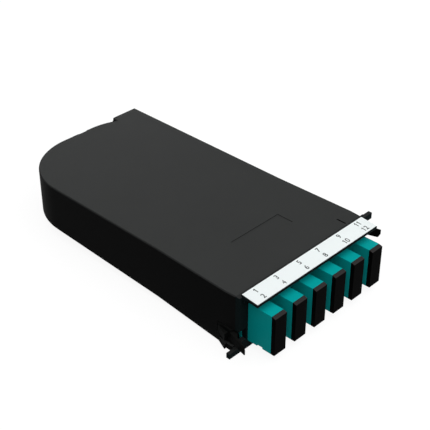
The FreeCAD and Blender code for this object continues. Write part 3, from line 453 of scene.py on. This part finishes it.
def paint(piece, slot):
    piece.data.materials.clear()
    piece.data.materials.append(MATERIALS[slot])


def paint_solids():
    for node, slot in SLOTS.items():
        paint(frame["nodes"][node], slot)


# Pieces with softened edges


def add_object(name, data):
    new = bpy.data.objects.new(name, data)
    bpy.context.scene.collection.objects.link(new)
    return new


def join_flat_faces(work):
    bmesh.ops.remove_doubles(work, verts=work.verts, dist=SEAM_MERGE)
    bmesh.ops.dissolve_limit(
        work, angle_limit=FLAT_ANGLE, verts=work.verts, edges=work.edges, use_dissolve_boundaries=False
    )


def deepen_carrier(work):
    """Lowers the plate's underside in front of its apron, for the deep dark edge under the label."""
    facing_down = [face for face in work.faces if face.normal.z < UNDERSIDE_NORMAL]
    underside = max(facing_down, key=lambda face: face.calc_area())
    bmesh.ops.translate(work, verts=underside.verts, vec=(0, 0, -CARRIER_DEEPER))


def level_adapter_top(work):
    """Raises the floor of the groove across the top to the faces beside it."""
    top = max(vert.co.z for vert in work.verts) - ADAPTER_FLANGE_RISE
    floor_height = top - ADAPTER_GROOVE_DEPTH
    floor_verts = [vert for vert in work.verts if abs(vert.co.z - floor_height) < SEAM_MERGE]
    bmesh.ops.translate(work, verts=floor_verts, vec=(0, 0, ADAPTER_GROOVE_DEPTH))


def welded_copy(node, name, reshape=None):
    """A copy of a solid with its loose triangles joined and its flat faces made whole."""
    mesh = frame["nodes"][node].data.copy()
    work = bmesh.new()
    work.from_mesh(mesh)
    join_flat_faces(work)
    if reshape:
        reshape(work)
        join_flat_faces(work)
    for edge in work.edges:
        edge.smooth = len(edge.link_faces) == 2 and edge.calc_face_angle(0) < SHARP_ANGLE
    for face in work.faces:
        face.smooth = True
    work.to_mesh(mesh)
    work.free()
    return add_object(name, mesh)


def soften_edges(piece, width):
    bevel = piece.modifiers.new("Soft edges", "BEVEL")
    bevel.width = width
    bevel.segments = EDGE_SEGMENTS
    bevel.limit_method = "ANGLE"
    bevel.angle_limit = SHARP_ANGLE
    bevel.use_clamp_overlap = True
    bevel.harden_normals = True


def softened(node, width, reshape=None):
    """Shows a solid with small rounds on its edges, in its own finish and on its own body."""
    piece = welded_copy(node, node + "_finished", reshape)
    soften_edges(piece, width)
    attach(piece, frame["nodes"][node]["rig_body"])
    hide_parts(node)
    paint(piece, SLOTS[node])


def soften_pieces():
    softened("front_panel", HOUSING_EDGE)
    softened("label_carrier", HOUSING_EDGE, deepen_carrier)
    for node in ("latch_lever_left", "latch_lever_right", "trunk_cap", "trunk_adapter"):
        softened(node, SMALL_EDGE)
    for column in range(1, COLUMNS + 1):
        softened(f"adapter_{column}", ADAPTER_EDGE, level_adapter_top)
        softened(f"dust_cap_{column}", ADAPTER_EDGE)
    softened("housing_shell", HOUSING_EDGE)


# Numbers on the label


def add_flag(work, middle):
    """The slanting flag at the top left of a 1, which the font draws as a bare stroke."""
    thickness = NUMBER_THICKNESS / NUMBER_SIZE
    inner = middle + ONE_STROKE_LEFT - STROKE_WEIGHT
    outer = inner - FLAG_REACH
    top = ONE_STROKE_TOP + STROKE_WEIGHT
    corners = (
        (inner, top),
        (outer, top - FLAG_DROP),
        (outer, top - FLAG_DROP - FLAG_HEIGHT),
        (inner, top - FLAG_HEIGHT),
    )
    front = work.faces.new([work.verts.new((x, y, thickness)) for x, y in corners])
    grown = bmesh.ops.extrude_face_region(work, geom=[front], use_keep_orig=True)
    back = [item for item in grown["geom"] if isinstance(item, bmesh.types.BMVert)]
    bmesh.ops.translate(work, verts=back, vec=(0, 0, -2 * thickness))


def add_flags(mesh, text):
    work = bmesh.new()
    work.from_mesh(mesh)
    for place, digit in enumerate(text):
        if digit == "1":
            add_flag(work, (place - (len(text) - 1) / 2) * DIGIT_PITCH)
    bmesh.ops.recalc_face_normals(work, faces=work.faces)
    work.to_mesh(mesh)
    work.free()


def number_mesh(text, x, depth):
    """One number as a thin mesh on the label: its top towards the rear, read along the row of ports.

    It is drawn one metre tall and then reduced, because Blender fills very small letters wrongly.
    The font's 4 keeps its own weight, because its hollow closes when the stroke grows.
    """
    curve = bpy.data.curves.new("number", "FONT")
    curve.body = text
    curve.align_x = "CENTER"
    curve.align_y = "CENTER"
    curve.offset = 0 if text == "4" else STROKE_WEIGHT
    curve.extrude = NUMBER_THICKNESS / NUMBER_SIZE
    holder = add_object("number", curve)
    bpy.context.view_layer.update()
    mesh = bpy.data.meshes.new_from_object(holder.evaluated_get(bpy.context.evaluated_depsgraph_get()))
    bpy.data.objects.remove(holder)
    add_flags(mesh, text)
    rear_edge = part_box("port_label")[1]
    y = rear_edge.y - depth * math.cos(LABEL_TILT)
    z = rear_edge.z - depth * math.sin(LABEL_TILT) + NUMBER_LIFT
    turned = Matrix.Translation((x, y, z)) @ Matrix.Rotation(LABEL_TILT, 4, "X")
    mesh.transform(turned @ Matrix.Scale(NUMBER_SIZE, 4))
    return mesh


def port_numbers():
    """1 to 12 in two rows, the odd ones behind and the even ones in front."""
    work = bmesh.new()
    for column, x in enumerate(NUMBER_PLACES):
        work.from_mesh(number_mesh(str(2 * column + 1), x, BACK_ROW_DEPTH))
        work.from_mesh(number_mesh(str(2 * column + 2), x, FRONT_ROW_DEPTH))
    mesh = bpy.data.meshes.new("port_numbers")
    work.to_mesh(mesh)
    work.free()
    mesh.materials.append(NUMBER_INK)
    numbers = add_object("port_numbers", mesh)
    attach(numbers, "cassette")


# Latch springs, divided along their length


def bending_spring(side):
    """The leaf spring, divided along its length between the bar that holds it and the lever's arm."""
    node = f"latch_spring_{side}"
    piece = welded_copy(node, node + "_bending")
    low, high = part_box(node)
    work = bmesh.new()
    work.from_mesh(piece.data)
    for step in range(1, SPRING_DIVISIONS):
        y = low.y + (high.y - low.y) * step / SPRING_DIVISIONS
        bmesh.ops.bisect_plane(
            work, geom=work.verts[:] + work.edges[:] + work.faces[:], plane_co=(0, y, 0), plane_no=(0, 1, 0)
        )
    work.to_mesh(piece.data)
    work.free()
    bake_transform(piece)
    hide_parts(node)
    paint(piece, SLOTS[node])


# Studio


def seen_as_background(tree):
    """1 for rays that show the background: the camera's own, and those in gloss or glass."""
    path = tree.nodes.new("ShaderNodeLightPath").outputs
    seen = calculation(tree, "MAXIMUM", path["Is Camera Ray"], path["Is Glossy Ray"])
    return calculation(tree, "MAXIMUM", seen, path["Is Transmission Ray"])


def floor():
    """A pale floor. It shows near white with a faint shadow, and sends little light back up."""
    work = bmesh.new()
    bmesh.ops.create_grid(work, x_segments=1, y_segments=1, size=FLOOR_SIZE / 2)
    bmesh.ops.translate(work, verts=work.verts, vec=(0, 0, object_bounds()[0].z - FLOOR_DROP))
    mesh = bpy.data.meshes.new("floor")
    work.to_mesh(mesh)
    work.free()
    material, tree, shader = empty_material("Floor white")
    shader.inputs["Roughness"].default_value = FLOOR_ROUGHNESS
    shader.inputs["Specular IOR Level"].default_value = 0.0
    shader.inputs["Emission Color"].default_value = (1, 1, 1, 1)
    seen = seen_as_background(tree)
    link(tree, between(tree, seen, FLOOR_BOUNCE_TONE, FLOOR_SEEN_TONE), shader.inputs["Base Color"])
    link(tree, calculation(tree, "MULTIPLY", seen, FLOOR_GLOW), shader.inputs["Emission Strength"])
    mesh.materials.append(material)
    add_object("floor", mesh)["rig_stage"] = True


def sky():
    """White where the background shows, and weaker as a light on the object."""
    world = bpy.data.worlds.new("Studio")
    world.use_nodes = True
    bpy.context.scene.world = world
    tree = world.node_tree
    background = tree.nodes["Background"]
    background.inputs["Color"].default_value = (1, 1, 1, 1)
    strength = between(tree, seen_as_background(tree), SKY_LIGHT, 1.0)
    link(tree, strength, background.inputs["Strength"])


def broad_light(name, strength, width, direction):
    light = bpy.data.lights.new(name, "SUN")
    light.energy = strength
    light.angle = width
    lamp = add_object(name, light)
    lamp.rotation_euler = Vector(direction).to_track_quat("Z", "Y").to_euler()


def lights():
    """A broad light from above and in front, and a weaker one that fills the rear and the right side."""
    broad_light("overhead", OVERHEAD_LIGHT, OVERHEAD_WIDTH, OVERHEAD_FROM)
    broad_light("fill", FILL_LIGHT, FILL_WIDTH, FILL_FROM)


def camera():
    """The photograph's view, placed from the middle of the housing's lower edge at the rear."""
    turn, rise = CAMERA_AZIMUTH, CAMERA_ELEVATION
    back = Vector((math.sin(turn) * math.cos(rise), -math.cos(turn) * math.cos(rise), math.sin(rise)))
    right = Vector((math.cos(turn), math.sin(turn), 0))
    up = back.cross(right)
    housing_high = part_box("housing_shell")[1]
    rear_edge = Vector((0, housing_high.y, housing_high.z - HOUSING_REAR_HEIGHT))
    place = rear_edge + right * VIEW_RIGHT + up * VIEW_UP + back * CAMERA_DISTANCE
    data = bpy.data.cameras.new("camera")
    data.lens = CAMERA_LENS
    data.sensor_width = CAMERA_SENSOR
    data.clip_start = CAMERA_NEAREST
    viewer = add_object("camera", data)
    axes = Matrix((right, up, back)).transposed().to_4x4()
    viewer.matrix_world = Matrix.Translation(place) @ axes
    bpy.context.scene.camera = viewer


paint_solids()
soften_pieces()
port_numbers()
for side in ("left", "right"):
    bending_spring(side)
floor()
sky()
lights()
camera()
bpy.context.scene.view_settings.view_transform = "Standard"
